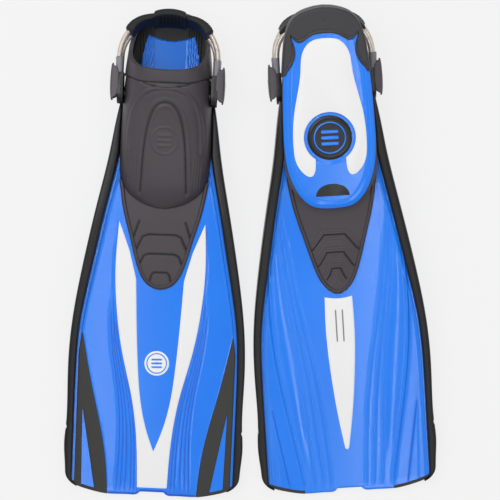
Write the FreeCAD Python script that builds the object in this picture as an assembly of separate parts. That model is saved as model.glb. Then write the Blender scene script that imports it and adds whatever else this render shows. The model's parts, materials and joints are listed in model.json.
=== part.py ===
# A pair of open-heel swim fins with spring straps.
# The left fin lies sole down and the right fin lies sole up, heels towards +Y.
import FreeCAD, Part
import math
import os

os.makedirs("parts", exist_ok=True)

Vec = FreeCAD.Vector
Turn = FreeCAD.Rotation
X_AXIS = Vec(1, 0, 0)
Y_AXIS = Vec(0, 1, 0)
Z_AXIS = Vec(0, 0, 1)

# Driving dimensions of one fin, in mm. In the fin's own frame x runs across,
# y runs from the blade tip (0) to the heel, and z = 0 is the underside of the sole.
fin_length = 602.0
blade_half = 110.0
toe_y = 353.0
rim_y = 516.0
pocket_half = 57.3
pocket_height = 88.0
wall = 3.5
plate_top = 4.0
blade_root_z = 15.0
blade_drop = 8.0
blade_thick_root = 4.6
blade_thick_tip = 3.4
rail_height_root = 26.0
rail_height_tip = 15.0
post_y = 494.0
post_z = 42.0
post_radius = 5.0
strap_rise = 5.0

# How the pair lies.
left_tip_x = -123.8
right_tip_x = 125.6
left_yaw = -2.5
right_yaw = 3.6
right_tip_y = 11.0

# Sizes that follow from the driving dimensions.
heel_y = fin_length
outline_length = 1.0216 * fin_length
span = 2.0 * blade_half
cup_bottom = -1.5
inlay_sink = 1.0
inlay_proud = 0.5
bend_radius = 300.0
bend_start_y = toe_y + 20.0
bend_angle = math.radians(blade_drop)
bend_end_y = bend_start_y - bend_radius * math.sin(bend_angle)
rail_top_y = post_y - 5.0
running_gap = 0.05
part_gap = 0.4


# ---------------------------------------------------------------- outlines

def flat(point):
    return Vec(point[0], point[1], 0)


def run_edge(points):
    """A line through two points, or a smooth curve through more."""
    if len(points) == 2:
        return Part.makeLine(flat(points[0]), flat(points[1]))
    curve = Part.BSplineCurve()
    curve.interpolate([flat(p) for p in points])
    return curve.toShape()


def ring_edge(points):
    """Closed smooth curve through points."""
    curve = Part.BSplineCurve()
    curve.interpolate([flat(p) for p in points], PeriodicFlag=True)
    return curve.toShape()


def closed_face(runs):
    """Face inside a closed chain of runs that share their end points."""
    return Part.Face(Part.Wire([run_edge(r) for r in runs]))


def mirror_run(points):
    return [(-x, y) for x, y in reversed(points)]


def mirrored_face(runs):
    """Face symmetric about x = 0. The runs go up the right-hand side."""
    first = runs[0]
    last = runs[-1]
    if len(runs) == 1 and first[0][0] == 0 and last[-1][0] == 0:
        ring = first[:-1] + mirror_run(first)[:-1]
        return Part.Face(Part.Wire([ring_edge(ring)]))
    left = [mirror_run(r) for r in reversed(runs)]
    if last[-1][0] == 0 and len(last) > 2:
        chain = list(runs[:-1]) + [last + left[0][1:]] + left[1:]
    else:
        chain = list(runs) + across(last[-1]) + left
    if first[0][0] == 0 and len(first) > 2:
        chain = [chain[-1] + chain[0][1:]] + chain[1:-1]
    else:
        chain += [list(reversed(r)) for r in across(first[0])]
    return closed_face(chain)


def across(point):
    """Straight run from a right-hand point to its mirror image, if they are apart."""
    if point[0] == 0:
        return []
    return [[point, (-point[0], point[1])]]


def prism(face, low, high):
    solid = face.extrude(Vec(0, 0, high - low))
    solid.translate(Vec(0, 0, low))
    return solid


def mirrored(shape):
    return shape.mirror(Vec(0, 0, 0), X_AXIS)


def bar(start, end, width, low, high):
    """Straight upright wall between two plan points, with round ends."""
    a = flat(start)
    b = flat(end)
    along = b - a
    length = along.Length
    box = Part.makeBox(length, width, high - low, Vec(0, -width / 2, low))
    box.rotate(Vec(0, 0, 0), Z_AXIS, math.degrees(math.atan2(along.y, along.x)))
    box.translate(a)
    ends = [Part.makeCylinder(width / 2, high - low, p + Vec(0, 0, low)) for p in (a, b)]
    return [box] + ends


def track(points, width, low, high):
    """Upright wall that follows a chain of plan points."""
    pieces = []
    for start, end in zip(points, points[1:]):
        pieces += bar(start, end, width, low, high)
    return pieces


# ---------------------------------------------------------------- side profile

def bent_points(root_off, tip_off):
    """Heel, bend start, bend middle, bend end and tip of a line along the blade."""
    radius = bend_radius + root_off
    centre = Vec(-span, bend_start_y, blade_root_z - bend_radius)
    heel = Vec(-span, fin_length + 20.0, blade_root_z + root_off)
    first = Vec(-span, bend_start_y, blade_root_z + root_off)
    half = bend_angle / 2
    middle = centre + Vec(0, -radius * math.sin(half), radius * math.cos(half))
    last = centre + Vec(0, -radius * math.sin(bend_angle), radius * math.cos(bend_angle))
    run = (bend_end_y + 30.0) / math.cos(bend_angle)
    base = centre + Vec(0, -math.sin(bend_angle), math.cos(bend_angle)) * bend_radius
    tip = base + Vec(0, -math.cos(bend_angle), -math.sin(bend_angle)) * run
    tip += Vec(0, -math.sin(bend_angle), math.cos(bend_angle)) * tip_off
    return heel, first, middle, last, tip


def bent_slab(low_root, low_tip, high_root, high_tip):
    """Slab that is level under the foot and drops away along the blade."""
    upper = bent_points(high_root, high_tip)
    lower = bent_points(low_root, low_tip)
    edges = []
    for heel, first, middle, last, tip in (upper, lower):
        edges.append(Part.makeLine(heel, first))
        edges.append(Part.Arc(first, middle, last).toShape())
        edges.append(Part.makeLine(last, tip))
    edges.append(Part.makeLine(upper[0], lower[0]))
    edges.append(Part.makeLine(upper[4], lower[4]))
    wire = Part.Wire(Part.__sortEdges__(edges))
    return Part.Face(wire).extrude(Vec(2 * span, 0, 0))


def centred_slab(root_thick, tip_thick):
    return bent_slab(-root_thick / 2, -tip_thick / 2, root_thick / 2, tip_thick / 2)


# ---------------------------------------------------------------- plan outlines

def outer_side():
    """Right-hand outer edge of the fin, from the tip corner up to the rail's end."""
    b = blade_half
    f = outline_length
    return [(b, 0.033 * f), (1.014 * b, 0.095 * f), (1.006 * b, 0.135 * f), (1.010 * b, 0.247 * f),
            (0.988 * b, 0.331 * f), (0.902 * b, 0.440 * f), (0.733 * b, 0.596 * f),
            (0.636 * b, 0.685 * f), (0.580 * b, 0.750 * f), (0.535 * b, rail_top_y)]


def rail_inner_side():
    """Right-hand inner edge of the side rail, from its end down to the tip."""
    b = blade_half
    f = outline_length
    return [(0.480 * b, rail_top_y), (0.520 * b, 0.685 * f), (0.615 * b, 0.596 * f),
            (0.789 * b, 0.440 * f), (0.893 * b, 0.331 * f), (0.918 * b, 0.247 * f),
            (0.921 * b, 0.135 * f), (0.921 * b, 0.010 * f)]


def tip_side():
    """Right-hand half of the blade tip, from the middle notch to the corner."""
    b = blade_half
    return [[(0.0, 0.0), (0.15 * b, 0.0)],
            [(0.15 * b, 0.0), (0.17 * b, -3.6), (0.24 * b, -4.2), (0.5 * b, -4.2),
             (0.72 * b, 0.0), (0.89 * b, 6.0), (0.975 * b, 11.0), (b, 0.033 * outline_length)]]


def whole_face():
    return mirrored_face(tip_side() + [outer_side()])


def rail_face():
    inner = rail_inner_side()
    tip = [inner[-1], (0.98 * blade_half, 0.010 * outline_length), outer_side()[0]]
    return closed_face([tip, outer_side(), [outer_side()[-1], inner[0]], inner])


def panel_face(grow):
    """Flex panel in front of the toes; grow widens it all round."""
    points = [(0.0, 0.413), (0.153, 0.4235), (0.253, 0.451), (0.353, 0.5105),
              (0.444, 0.5675), (0.505, 0.628)]
    side = [(x * blade_half + grow * (x > 0), y * outline_length - grow * (x < 0.3))
            for x, y in points]
    return mirrored_face([side])


def stripe_face():
    """White V stripe: outer edge up, inner edge back down to the wedge tip."""
    b = blade_half
    f = outline_length
    outer = [(0.171 * b, 0.008 * f), (0.199 * b, 0.104 * f), (0.282 * b, 0.2 * f),
             (0.389 * b, 0.275 * f), (0.483 * b, 0.374 * f), (0.512 * b, 0.4585 * f),
             (0.489 * b, 0.549 * f)]
    inner = [(0.489 * b, 0.549 * f), (0.36 * b, 0.49 * f), (0.273 * b, 0.4325 * f)]
    wedge = [(0.273 * b, 0.4325 * f), (0.255 * b, 0.366 * f), (0.216 * b, 0.263 * f),
             (0.095 * b, 0.12 * f), (0.0, 0.083 * f)]
    left = [mirror_run(r) for r in (wedge, inner, outer)]
    base = [mirror_run(outer)[-1], outer[0]]
    return closed_face([outer, inner, wedge] + left + [base])


def keel_face():
    b = blade_half
    f = outline_length
    tip = [(0.0, 0.079 * f), (0.023 * b, 0.083 * f)]
    side = [(0.023 * b, 0.083 * f), (0.09 * b, 0.16 * f), (0.136 * b, 0.237 * f),
            (0.163 * b, 0.325 * f), (0.155 * b, 0.395 * f)]
    top = [(0.155 * b, 0.395 * f), (0.07 * b, 0.390 * f), (0.0, 0.388 * f)]
    return mirrored_face([tip, side, top])


def channel_face():
    """Black insert beside the right-hand rail at the blade tip."""
    b = blade_half
    f = outline_length
    inner = [(0.512 * b, 0.006 * f), (0.551 * b, 0.073 * f), (0.645 * b, 0.153 * f),
             (0.705 * b, 0.195 * f), (0.795 * b, 0.267 * f), (0.86 * b, 0.325 * f)]
    outer = [(0.86 * b, 0.325 * f), (0.885 * b, 0.285 * f), (0.895 * b, 0.2 * f),
             (0.895 * b, 0.012 * f)]
    window = [(0.81 * b, 0.012 * f), (0.824 * b, 0.164 * f), (0.66 * b, 0.008 * f)]
    return closed_face([inner, outer, [outer[-1], window[0]], [window[0], window[1]],
                        [window[1], window[2]], [window[2], inner[0]]])


def pocket_side(inset):
    """Right-hand side of the foot pocket in plan, from toe to heel."""
    w = pocket_half
    front = toe_y + 1.6 + inset
    back = heel_y - inset
    return [(0.0, front), (0.4 * w - inset * 0.6, front + 3.4), (0.82 * w - inset, front + 20.4),
            (w - inset, toe_y + 69.0), (0.98 * w - inset, toe_y + 127.0),
            (0.945 * w - inset, toe_y + 163.0), (0.885 * w - inset, toe_y + 196.0),
            (0.79 * w - inset, heel_y - 27.0), (0.60 * w - inset * 0.8, back - 10.0),
            (0.33 * w - inset * 0.6, back - 2.8), (0.0, back)]


def plate_side():
    """Right-hand side of the sole plate, from toe to heel."""
    w = pocket_half
    return [[(0.0, toe_y), (0.45 * w, toe_y + 4.0), (0.78 * w, toe_y + 25.0),
             (0.985 * w, toe_y + 83.0), (0.965 * w, toe_y + 140.0), (0.87 * w, toe_y + 168.0)],
            [(0.87 * w, toe_y + 168.0), (0.635 * w, toe_y + 193.0), (0.70 * w, heel_y - 35.0)],
            [(0.70 * w, heel_y - 35.0), (0.55 * w, heel_y - 42.0), (0.3 * w, heel_y - 35.0),
             (0.0, heel_y - 32.0)]]


# ---------------------------------------------------------------- blade

def rib_track(share):
    """Centre line of a blade rib, a share of the way from the stripe to the rail."""
    b = blade_half
    f = outline_length
    inside = [(0.23 * b, 0.03 * f), (0.30 * b, 0.2 * f), (0.45 * b, 0.3 * f), (0.56 * b, 0.44 * f)]
    outside = [(0.49 * b, 0.03 * f), (0.62 * b, 0.17 * f), (0.82 * b, 0.32 * f), (0.66 * b, 0.52 * f)]
    return [(p[0] + share * (q[0] - p[0]), p[1] + share * (q[1] - p[1]))
            for p, q in zip(inside, outside)]


def rib_face(share):
    half = 1.0
    line = rib_track(share)
    left = [(x - half, y) for x, y in line]
    right = [(x + half, y) for x, y in reversed(line)]
    return closed_face([left, [left[-1], right[0]], right, [right[-1], left[0]]])


def make_blade(inlays, solids_in_the_way):
    body = prism(whole_face(), -span, span).common(centred_slab(blade_thick_root, blade_thick_tip))
    rib_slab = centred_slab(blade_thick_root + 2.0, blade_thick_tip + 2.0)
    ribs = []
    for share in (0.12, 0.38, 0.64, 0.9):
        rib = prism(rib_face(share), -span, span).common(rib_slab)
        ribs += [rib, mirrored(rib)]
    body = body.fuse(ribs).removeSplitter()
    return biggest(body.cut(inlays + solids_in_the_way))


def biggest(shape):
    """The largest solid of a shape."""
    return sorted(shape.Solids, key=lambda s: s.Volume)[-1]


def top_inlay(face):
    top_root = blade_thick_root / 2
    top_tip = blade_thick_tip / 2
    slab = bent_slab(top_root - inlay_sink, top_tip - inlay_sink,
                     top_root + inlay_proud, top_tip + inlay_proud)
    return biggest(prism(face, -span, span).common(slab))


def under_inlay(face):
    top_root = blade_thick_root / 2
    top_tip = blade_thick_tip / 2
    slab = bent_slab(-top_root - inlay_proud, -top_tip - inlay_proud,
                     -top_root + inlay_sink, -top_tip + inlay_sink)
    return biggest(prism(face, -span, span).common(slab))


def make_rail(solids_in_the_way):
    slab = centred_slab(rail_height_root, rail_height_tip)
    solid = prism(rail_face(), -span, span).common(slab)
    return biggest(solid.cut(solids_in_the_way))


def panel_tracks(tops):
    """Nested arches across the flex panel: (top y, half top, foot y, half foot)."""
    chains = []
    for top, half_top, foot, half_foot in tops:
        chains.append([(-half_foot, foot), (-half_top, top), (half_top, top), (half_foot, foot)])
    return chains


def make_flex_panel(solids_in_the_way):
    border = 4.5
    thick = blade_thick_root + 2.4
    rim = prism(panel_face(0.0), -span, span).common(centred_slab(thick + 2.0, thick + 2.0))
    hollow = prism(panel_face(-border), -span, span)
    upper = bent_slab(thick / 2, thick / 2, thick, thick)
    lower = bent_slab(-thick, -thick, -thick / 2, -thick / 2)
    body = rim.cut([hollow.common(upper), hollow.common(lower)])
    t = toe_y
    top_arches = [(t - 23, 11.0, t - 40, 31.0), (t - 45, 10.0, t - 62, 23.0),
                  (t - 67, 7.0, t - 80, 13.0)]
    under_arches = [(t - 34, 11.0, t - 51, 27.0), (t - 56, 8.0, t - 72, 20.0),
                    (t - 76, 4.0, t - 86, 9.0)]
    groove = 2.0
    depth = 1.0
    cuts = []
    above = bent_slab(thick / 2 - depth, thick / 2 - depth, thick, thick)
    below = bent_slab(-thick, -thick, depth - thick / 2, depth - thick / 2)
    for arches, slab in ((top_arches, above), (under_arches, below)):
        for chain in panel_tracks(arches):
            walls = track(chain, groove, -span, span)
            cuts.append(walls[0].fuse(walls[1:]).common(slab))
    return biggest(body.cut(cuts + solids_in_the_way))


# ---------------------------------------------------------------- foot pocket

def arch_wire(y, half, height):
    """Flat-bottomed arch across the foot."""
    z = plate_top
    side = [(half, z), (half, z + 0.35 * height), (0.86 * half, z + 0.74 * height),
            (0.46 * half, z + 0.95 * height), (0.0, z + height)]
    points = side + [(-x, h) for x, h in reversed(side[:-1])]
    curve = Part.BSplineCurve()
    curve.interpolate([Vec(x, y, h) for x, h in points])
    base = Part.makeLine(Vec(-half, y, z), Vec(half, y, z))
    return Part.Wire([curve.toShape(), base])


def pocket_body(inset):
    """The foot pocket as a solid, shrunk by inset on its sides and top."""
    top = pocket_height - plate_top
    stations = [(toe_y - 2.0, 0.90 * pocket_half, 0.24 * top),
                (toe_y + 22.0, 0.92 * pocket_half, 0.40 * top),
                (toe_y + 63.0, pocket_half, 0.58 * top),
                (toe_y + 127.0, 0.954 * pocket_half, 0.83 * top),
                (rim_y, 0.865 * pocket_half, top),
                (heel_y + 2.0, 0.80 * pocket_half, 1.06 * top)]
    wires = [arch_wire(y, half - inset, height - inset) for y, half, height in stations]
    tunnel = Part.makeLoft(wires, True)
    plan = prism(mirrored_face([pocket_side(inset)]), 0.0, 2 * pocket_height)
    return tunnel.common(plan)


def opening_cutter():
    """Everything above the rim line of the foot opening, seen from the side."""
    line = [(rim_y, pocket_height + 2.0), (rim_y + 30.0, 0.56 * pocket_height),
            (rim_y + 48.0, 0.31 * pocket_height), (heel_y + 20.0, 0.27 * pocket_height)]
    points = [Vec(-span, y, z) for y, z in line]
    points.append(Vec(-span, heel_y + 20.0, 3 * pocket_height))
    points.append(Vec(-span, rim_y, 3 * pocket_height))
    points.append(points[0])
    return Part.Face(Part.makePolygon(points)).extrude(Vec(2 * span, 0, 0))


def rim_bead():
    """Raised collar band around the front of the foot opening."""
    band = Part.makeBox(2 * span, 13.0, 3 * pocket_height, Vec(-span, rim_y - 13.0, 0.45 * pocket_height))
    return pocket_body(-1.0).common(band)


def instep_relief():
    """Arched panel line on top of the foot pocket."""
    outer = [(45.0, toe_y + 62.0), (45.0, toe_y + 95.0), (38.0, toe_y + 130.0),
             (20.0, toe_y + 148.0), (0.0, toe_y + 151.0)]
    band = [(x * 0.94, y - 2.5) for x, y in outer]
    ring = prism(mirrored_face([outer]), 20.0, 2 * pocket_height)
    inside = prism(mirrored_face([band]), 20.0, 2 * pocket_height)
    return ring.cut(inside).common(pocket_body(-0.8))


def make_foot_pocket(posts):
    shell = pocket_body(0.0).fuse([rim_bead(), instep_relief()])
    shell = shell.cut([pocket_body(wall), opening_cutter()] + posts)
    return biggest(shell)


def make_sole_plate(inlays, posts):
    plate = prism(mirrored_face(plate_side()), 0.0, plate_top)
    ribs = []
    for x in (28.0, 34.0, 40.0):
        ribs += track([(x, toe_y + 100.0), (0.9 * x, heel_y - 75.0)], 2.0, plate_top - 0.5, plate_top + 1.2)
    ribs += [mirrored(r) for r in ribs]
    return biggest(plate.fuse(ribs).removeSplitter().cut(inlays + posts))


def make_heel_cup():
    outline = mirrored_face([pocket_side(-1.0)])
    back = Part.makeBox(2 * span, heel_y, 20.0, Vec(-span, toe_y + 166.0, -5.0))
    body = prism(outline, cup_bottom, plate_top).common(back)
    return biggest(body.cut(prism(mirrored_face(plate_side()), -5.0, plate_top + 5.0)))


def badge_y():
    return toe_y + 89.0


def make_sole_pad():
    w = pocket_half
    side = [(0.33 * w, toe_y + 63.0), (0.495 * w, toe_y + 42.0), (0.70 * w, toe_y + 54.0),
            (0.785 * w, toe_y + 76.0), (0.725 * w, toe_y + 124.0), (0.55 * w, toe_y + 173.0),
            (0.475 * w, heel_y - 52.0), (0.31 * w, heel_y - 41.0), (0.0, heel_y - 37.5)]
    pad = prism(mirrored_face([side]), -inlay_sink, inlay_sink)
    ring = Part.makeCylinder(32.0, 20.0, Vec(0, badge_y(), -10.0))
    return biggest(pad.cut(ring))


def make_badge():
    disc = Part.makeCylinder(27.6, 2.4, Vec(0, badge_y(), -1.2))
    return disc.makeChamfer(0.4, [disc.Edges[2]])


def make_toe_grip():
    base = toe_y + 16.0
    runs = [[(21.0, base), (17.0, base + 9.0), (0.0, base + 15.0)]]
    return prism(mirrored_face(runs), -inlay_sink, inlay_sink)


# ---------------------------------------------------------------- strap hardware

buckle_in = 54.3
buckle_out = 62.0
button_in = 67.4
button_out = 71.0
stem_radius = 3.6
stem_y = post_y + 17.0
coil_radius = 3.6
coil_offset = 3.8
coil_step = 1.2
strap_lean = 23.0
cap_y = post_y + 26.0
cap_end_y = post_y + 45.0
spring_x = 59.8
end_x = 49.0
end_y = heel_y - 35.0
pad_y = heel_y - 14.0


def make_post():
    flange_x = buckle_in - 8.5
    shaft = Part.makeCylinder(post_radius, buckle_out - flange_x, Vec(flange_x, post_y, post_z), X_AXIS)
    flange = Part.makeCylinder(post_radius + 4.0, 3.5, Vec(flange_x, post_y, post_z), X_AXIS)
    return shaft.fuse(flange)


def side_face(points, x):
    """Face in the side view from runs of (y, z) points."""
    edges = []
    for run in points:
        at = [Vec(x, y, z) for y, z in run]
        if len(at) == 2:
            edges.append(Part.makeLine(at[0], at[1]))
        else:
            edges.append(Part.Arc(at[0], at[1], at[2]).toShape())
    return Part.Face(Part.Wire(edges))


def tapered_block(front_y, front_half, back_y, back_half, x_low, x_high):
    """Block along the strap with a round front end, seen from the side."""
    z = post_z
    runs = [[(front_y, z + front_half), (front_y - front_half, z), (front_y, z - front_half)],
            [(front_y, z - front_half), (back_y, z - back_half)],
            [(back_y, z - back_half), (back_y, z + back_half)],
            [(back_y, z + back_half), (front_y, z + front_half)]]
    return side_face(runs, x_low).extrude(Vec(x_high - x_low, 0, 0))


def make_buckle():
    body = tapered_block(post_y, 13.0, cap_y, 10.0, buckle_in, buckle_out)
    bore = Part.makeCylinder(post_radius + running_gap, 40.0, Vec(40.0, post_y, post_z), X_AXIS)
    well = Part.makeCylinder(stem_radius + running_gap, 20.0, Vec(buckle_in + 2.0, stem_y, post_z), X_AXIS)
    return body.cut([bore, well])


def make_cap():
    """Cover at the back of the buckle that takes the two spring ends."""
    body = Part.makeBox(12.0, cap_end_y - cap_y, 20.0, Vec(buckle_in - 1.0, cap_y, post_z - 10.0))
    wells = [Part.makeCylinder(coil_radius + 0.2, 30.0, coil_start(side), Y_AXIS)
             for side in (-1, 1)]
    upright = [e for e in body.Edges if abs(e.Vertexes[0].Y - e.Vertexes[1].Y) < 0.1]
    far = [e for e in upright if abs(e.Vertexes[0].X - e.Vertexes[1].X) < 0.1 and e.CenterOfMass.y > cap_y + 10]
    return body.makeFillet(2.5, far).cut(wells)


def make_button():
    """Thumb pad on the outside of the buckle, on a stem that slides in its well."""
    pad = tapered_block(post_y + 1.0, 10.0, cap_end_y - 8.0, 7.5, button_in, button_out)
    rims = [e for e in pad.Edges if e.CenterOfMass.x > button_out - 0.1]
    pad = pad.makeFillet(2.0, rims)
    stem = Part.makeCylinder(stem_radius, button_in - buckle_in - 5.0,
                             Vec(buckle_in + 5.0, stem_y, post_z), X_AXIS)
    return pad.fuse(stem)


def make_button_spring():
    x = buckle_in + 2.0
    outer = Part.makeCylinder(stem_radius - 0.4, 3.0, Vec(x, stem_y, post_z), X_AXIS)
    inner = Part.makeCylinder(stem_radius - 1.2, 3.0, Vec(x, stem_y, post_z), X_AXIS)
    return outer.cut(inner)


def coil_start(side):
    """Where a coil is held in the buckle cap; side is -1 for the lower coil."""
    return Vec(spring_x + side * coil_step, cap_end_y - 8.0, post_z + side * coil_offset)


def spring_path(side):
    start = coil_start(side)
    bend = start + Vec(0, 8.0, 0)
    end = Vec(end_x + 0.5 + 1.6 * side, end_y + 1.5 + 1.6 * side, start.z)
    across = bend.x - end.x
    reach = end.y - bend.y
    radius = (across ** 2 + reach ** 2) / (2.0 * across)
    half_turn = 0.5 * math.asin(reach / radius)
    middle = bend + Vec(radius * (math.cos(half_turn) - 1.0), radius * math.sin(half_turn), 0)
    straight = Part.makeLine(start, bend)
    arc = Part.Arc(bend, middle, end).toShape()
    return Part.Wire([straight, arc])


def spring_rod(side, radius):
    ring = Part.Wire(Part.makeCircle(radius, coil_start(side), Y_AXIS))
    return spring_path(side).makePipeShell([ring], True, True)


def make_springs():
    """Two side-by-side coil springs, as tubes."""
    tubes = [spring_rod(side, coil_radius).cut(spring_rod(side, coil_radius - 1.3))
             for side in (-1, 1)]
    return Part.makeCompound(tubes)


def make_strap_end():
    """Rubber socket that joins the springs to the heel pad."""
    low = post_z - 10.5
    inner = [(19.5, pad_y - 3.7), (32.5, pad_y - 8.5), (end_x - 5.0, end_y - 1.0)]
    outer = [(end_x + 5.5, end_y + 3.0), (41.0, pad_y - 2.2), (19.5, pad_y + 2.8)]
    face = closed_face([inner, [inner[-1], outer[0]], outer, [outer[-1], inner[0]]])
    return prism(face, low, post_z + 10.5)


def make_heel_pad():
    """Curved heel pad with three ribs on its inner face."""
    low = post_z - 17.0
    half = 19.5
    y = pad_y
    inner = [(-half, y - 4.5), (0.0, y - 1.5), (half, y - 4.5)]
    outer = [(half, y + 3.5), (0.0, y + 7.0), (-half, y + 3.5)]
    face = closed_face([inner, [inner[-1], outer[0]], outer, [outer[-1], inner[0]]])
    pad = prism(face, low, low + 38.0)
    ribs = [Part.makeBox(3.0, 4.0, 30.0, Vec(x - 1.5, y - 5.0, low + 3.0)) for x in (-9.0, 0.0, 9.0)]
    return pad.fuse(ribs)


def lean_back(shape):
    """Tips a part of the strap back so that its top edge is further behind the heel."""
    shape.rotate(Vec(0, heel_y - 22.0, post_z), X_AXIS, -strap_lean)
    return shape


def raise_strap(shape):
    """Turns a strap part up by the strap's rest angle about the posts."""
    shape.rotate(Vec(0, post_y, post_z), X_AXIS, strap_rise)
    return shape


# ---------------------------------------------------------------- one fin

def make_fin():
    post = make_post()
    posts = [post, mirrored(post)]
    pad = make_sole_pad()
    badge = make_badge()
    grip = make_toe_grip()
    pocket = make_foot_pocket(posts)
    pocket_block = pocket_body(-1.2)
    plate = make_sole_plate([pad, badge, grip], posts)
    plate_block = prism(mirrored_face(plate_side()), -10.0, plate_top + 0.01)
    stripe = top_inlay(stripe_face())
    keel = under_inlay(keel_face())
    channel = top_inlay(channel_face())
    rail_region = prism(rail_face(), -span, span)
    panel_region = prism(panel_face(0.0), -span, span)
    foot = [pocket_block, plate_block]
    stripe = biggest(stripe.cut([panel_region]))
    panel = make_flex_panel(foot + [rail_region, mirrored(rail_region)])
    rail = make_rail(foot)
    inlays = [stripe, keel, channel, mirrored(channel)]
    blade = make_blade(inlays, foot + [panel_region, rail_region, mirrored(rail_region)])
    rods = [raise_strap(spring_rod(side, coil_radius + part_gap / 4)) for side in (-1, 1)]
    strap_end = raise_strap(lean_back(make_strap_end())).cut(rods)
    nodes = {
        "blade": blade,
        "top_stripe": stripe,
        "keel_stripe": keel.cut(panel_region),
        "flex_panel": panel,
        "foot_pocket": pocket,
        "sole_plate": plate,
        "sole_pad": pad,
        "sole_badge": badge,
        "toe_grip": grip,
        "heel_cup": make_heel_cup(),
        "heel_pad": raise_strap(lean_back(make_heel_pad())),
    }
    paired = {
        "rail": rail,
        "tip_channel": channel,
        "buckle_post": post,
        "buckle_body": raise_strap(make_buckle()),
        "buckle_cap": raise_strap(make_cap()),
        "release_button": raise_strap(make_button()),
        "button_spring": raise_strap(make_button_spring()),
        "strap_springs": raise_strap(make_springs()),
        "strap_end": biggest(strap_end),
    }
    for name, shape in paired.items():
        nodes[name + "_r"] = shape
        nodes[name + "_l"] = mirrored(shape)
    return nodes


# ---------------------------------------------------------------- the pair

def lie(tip_x, tip_y, yaw, pitch, roll):
    """Placement of one fin that rolls, then pitches, then yaws."""
    turn = Turn(Z_AXIS, yaw).multiply(Turn(X_AXIS, pitch)).multiply(Turn(Y_AXIS, roll))
    return FreeCAD.Placement(Vec(tip_x, tip_y, 0), turn)


def place(shape, placement):
    moved = shape.copy()
    moved.Placement = placement.multiply(shape.Placement)
    return moved


def box_of(shapes):
    return Part.makeCompound(shapes).optimalBoundingBox(False, False)


def settled_pitch(fin, rear_name, roll):
    """Pitch at which the rails' tips and the rear contact part touch one floor."""
    pitch = 0.0
    for turn_by_turn in range(4):
        placement = lie(0.0, 0.0, 0.0, pitch, roll)
        front = box_of([place(fin["rail_r"], placement)]).ZMin
        rear = box_of([place(fin[rear_name], placement)]).ZMin
        pitch -= math.degrees(math.atan2(rear - front, rim_y))
    return pitch


def main():
    fin = make_fin()
    row = {}
    down = settled_pitch(fin, "heel_cup", 0.0)
    up = settled_pitch(fin, "foot_pocket", 180.0)
    resting = {"left": lie(left_tip_x, 0.0, left_yaw, down, 0.0),
               "right": lie(right_tip_x, right_tip_y, right_yaw, up, 180.0)}
    for side, placement in resting.items():
        shapes = {side + "_" + name: place(shape, placement) for name, shape in fin.items()}
        floor = box_of(list(shapes.values())).ZMin
        drop = FreeCAD.Placement(Vec(0, 0, -floor), Turn())
        row.update({name: place(shape, drop) for name, shape in shapes.items()})
        print(side, "base", placement.Base, "floor", floor, "turn", placement.Rotation.Q)
        for name in ("rail_l", "rail_r", "foot_pocket", "heel_cup"):
            print(name, "is", box_of([shapes[side + "_" + name]]).ZMin - floor, "above the floor")
    box = box_of(list(row.values()))
    shift = Vec(-box.Center.x, -box.Center.y, 0)
    print("shift", shift, "size", box.XLength, box.YLength, box.ZLength)
    for name, shape in row.items():
        final = place(shape, FreeCAD.Placement(shift, Turn()))
        final.exportStep("parts/" + name + ".step")


main()
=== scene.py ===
import bpy
import bmesh
import json
import math
import numpy as np
from mathutils import Matrix, Vector


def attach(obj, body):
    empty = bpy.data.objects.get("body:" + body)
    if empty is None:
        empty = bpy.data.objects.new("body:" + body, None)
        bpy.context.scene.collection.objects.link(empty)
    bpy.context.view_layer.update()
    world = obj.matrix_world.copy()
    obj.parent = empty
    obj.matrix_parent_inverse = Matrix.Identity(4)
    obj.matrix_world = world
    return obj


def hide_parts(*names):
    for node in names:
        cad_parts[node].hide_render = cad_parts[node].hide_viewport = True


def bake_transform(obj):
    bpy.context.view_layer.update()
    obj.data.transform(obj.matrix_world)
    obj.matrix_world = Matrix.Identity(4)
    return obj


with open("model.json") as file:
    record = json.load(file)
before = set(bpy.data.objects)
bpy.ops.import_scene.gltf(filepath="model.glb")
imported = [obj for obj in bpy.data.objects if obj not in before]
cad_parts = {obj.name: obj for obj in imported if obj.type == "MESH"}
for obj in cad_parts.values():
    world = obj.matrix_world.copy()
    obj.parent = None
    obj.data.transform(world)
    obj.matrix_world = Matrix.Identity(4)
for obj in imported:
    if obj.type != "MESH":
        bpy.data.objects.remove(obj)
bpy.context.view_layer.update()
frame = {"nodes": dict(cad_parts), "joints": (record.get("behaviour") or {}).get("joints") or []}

# Named sizes of one fin in its own frame, in mm: x across, y from blade tip to heel, z up
# from the underside of the sole. They repeat the CAD model's own driving dimensions.
FIN = 602.0
REF = 1.0216 * FIN
HALF = 110.0
TOE = 353.0
RIM = 516.0
HEEL = FIN
POCKET = 57.3
POCKET_H = 88.0
PLATE = 4.0
WALL = 3.5
ROOT_Z = 15.0
DROP = math.radians(8.0)
BEND_R = 300.0
BEND_0 = TOE + 20.0
BEND_1 = BEND_0 - BEND_R * math.sin(DROP)
POST_Y = 494.0
POST_Z = 42.0
RISE = math.radians(5.0)
LEAN = math.radians(-23.0)
RAIL_TOP = POST_Y - 5.0
CAP_END = POST_Y + 45.0
SPRING_X = 59.8
COIL_STEP = 1.2
COIL_OFFSET = 3.8
END_X = 49.0
END_Y = HEEL - 35.0
PAD_Y = HEEL - 14.0
BADGE_Y = TOE + 89.0
LIP_Z = 11.2
# Half thicknesses of the blade and half heights of the rails, at the bend and at the tip.
HALF_THICK_ROOT = 2.3
HALF_THICK_TIP = 1.7
RAIL_HALF_ROOT = 13.0
RAIL_HALF_TIP = 7.5

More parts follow.
